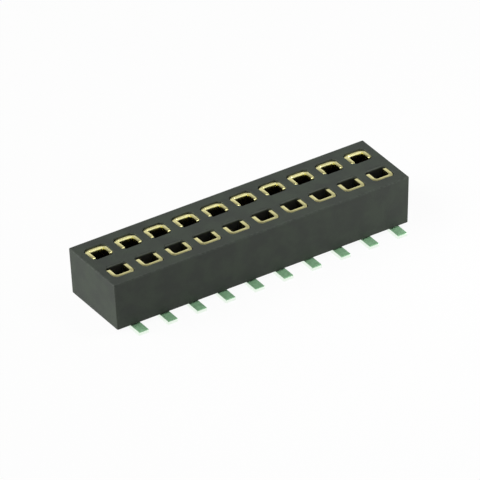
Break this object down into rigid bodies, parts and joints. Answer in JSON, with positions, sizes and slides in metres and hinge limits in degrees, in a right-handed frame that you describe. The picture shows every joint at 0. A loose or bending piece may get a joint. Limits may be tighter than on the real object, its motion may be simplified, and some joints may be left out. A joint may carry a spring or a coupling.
{
  "type": "surface mount socket strip",
  "caption": "Low-profile dual-row socket strip with a moulded housing, U-shaped spring contacts open at the top and flat solder feet along both long sides.",
  "frame": {"origin": "on the board plane under the centre of the contact grid, where the undersides of the solder feet lie", "axes": "+X along the strip, +Y towards the back row, +Z away from the board towards the mating face"},
  "size_m": [0.013, 0.0042, 0.0022],
  "materials": {
    "housing": "fine moulded matte, charcoal black liquid crystal polymer",
    "contact": "gold plate over the collar and spring arms, bright tin on the tail and solder foot"
  },
  "bodies": {
    "root": {"housing": "housing", "contact_back_01": "contact", "contact_back_02": "contact", "contact_back_03": "contact", "contact_back_04": "contact", "contact_back_05": "contact", "contact_back_06": "contact", "contact_back_07": "contact", "contact_back_08": "contact", "contact_back_09": "contact", "contact_back_10": "contact", "contact_front_01": "contact", "contact_front_02": "contact", "contact_front_03": "contact", "contact_front_04": "contact", "contact_front_05": "contact", "contact_front_06": "contact", "contact_front_07": "contact", "contact_front_08": "contact", "contact_front_09": "contact", "contact_front_10": "contact"}
  },
  "joints": []
}
